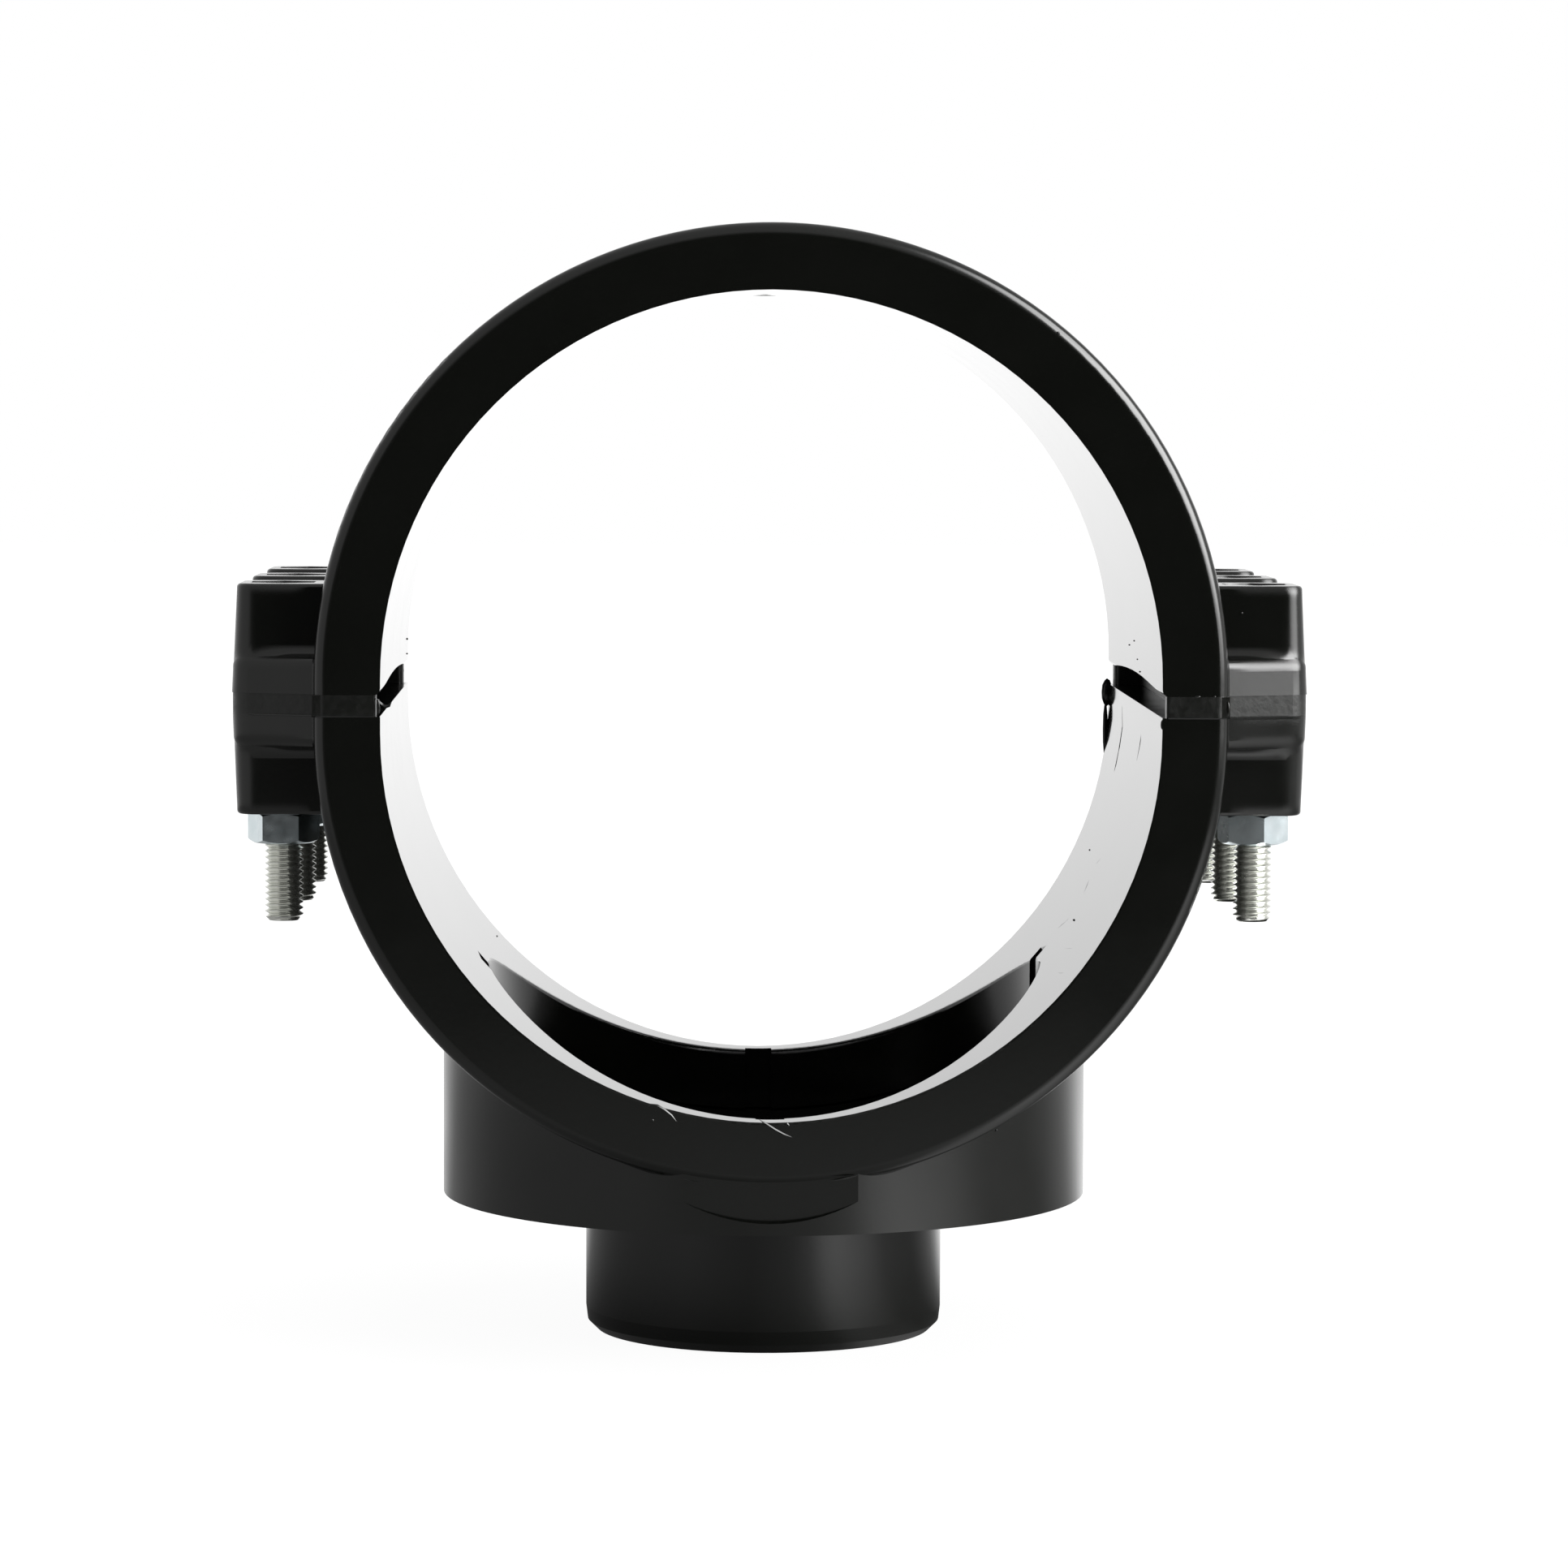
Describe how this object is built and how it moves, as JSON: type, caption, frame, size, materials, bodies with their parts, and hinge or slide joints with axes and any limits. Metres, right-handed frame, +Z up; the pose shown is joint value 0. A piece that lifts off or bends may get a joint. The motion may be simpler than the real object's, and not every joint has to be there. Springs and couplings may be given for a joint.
{
  "type": "tapping saddle",
  "caption": "Split ring of black plastic that is bolted round a pipe, its lower half with a round chamber, a hub and a threaded outlet pointing down.",
  "frame": {"origin": "centre of the outlet's bottom face", "axes": "+Z up, from the outlet to the top of the strap; Y along the pipe; X across the bolt lugs; the picture looks along +Y"},
  "size_m": [0.2228, 0.1394, 0.2381],
  "materials": {
    "black_plastic": "satin moulded polypropylene",
    "seal_rubber": "dull black rubber",
    "zinc_steel": "bright zinc plate"
  },
  "bodies": {
    "saddle": {"lower_saddle": "black_plastic", "seal_ring": "seal_rubber"},
    "strap": {"upper_strap": "black_plastic", "bolt_left_front": "zinc_steel", "bolt_left_middle": "zinc_steel", "bolt_left_rear": "zinc_steel", "bolt_right_front": "zinc_steel", "bolt_right_middle": "zinc_steel", "bolt_right_rear": "zinc_steel"},
    "nut_left_front": {"nut_left_front": "zinc_steel"},
    "nut_left_middle": {"nut_left_middle": "zinc_steel"},
    "nut_left_rear": {"nut_left_rear": "zinc_steel"},
    "nut_right_front": {"nut_right_front": "zinc_steel"},
    "nut_right_middle": {"nut_right_middle": "zinc_steel"},
    "nut_right_rear": {"nut_right_rear": "zinc_steel"}
  },
  "joints": [
    {"name": "strap_lift", "type": "slide", "parent": "saddle", "child": "strap", "axis": [0, 0, 1], "range_m": [0, 0.015]},
    {"name": "turn_nut_left_front", "type": "hinge", "parent": "saddle", "child": "nut_left_front", "pos_m": [-0.1013, -0.046, 0.116], "axis": [0, 0, -1], "range_deg": [0, 4320]},
    {"name": "turn_nut_left_middle", "type": "hinge", "parent": "saddle", "child": "nut_left_middle", "pos_m": [-0.1013, 0, 0.116], "axis": [0, 0, -1], "range_deg": [0, 4320]},
    {"name": "turn_nut_left_rear", "type": "hinge", "parent": "saddle", "child": "nut_left_rear", "pos_m": [-0.1013, 0.046, 0.116], "axis": [0, 0, -1], "range_deg": [0, 4320]},
    {"name": "turn_nut_right_front", "type": "hinge", "parent": "saddle", "child": "nut_right_front", "pos_m": [0.1013, -0.046, 0.116], "axis": [0, 0, -1], "range_deg": [0, 4320]},
    {"name": "turn_nut_right_middle", "type": "hinge", "parent": "saddle", "child": "nut_right_middle", "pos_m": [0.1013, 0, 0.116], "axis": [0, 0, -1], "range_deg": [0, 4320]},
    {"name": "turn_nut_right_rear", "type": "hinge", "parent": "saddle", "child": "nut_right_rear", "pos_m": [0.1013, 0.046, 0.116], "axis": [0, 0, -1], "range_deg": [0, 4320]}
  ],
  "couplings": [
    {"joint": "turn_nut_left_front", "follows": "strap_lift", "rad_per_m": 5026.5},
    {"joint": "turn_nut_left_middle", "follows": "strap_lift", "rad_per_m": 5026.5},
    {"joint": "turn_nut_left_rear", "follows": "strap_lift", "rad_per_m": 5026.5},
    {"joint": "turn_nut_right_front", "follows": "strap_lift", "rad_per_m": 5026.5},
    {"joint": "turn_nut_right_middle", "follows": "strap_lift", "rad_per_m": 5026.5},
    {"joint": "turn_nut_right_rear", "follows": "strap_lift", "rad_per_m": 5026.5}
  ]
}
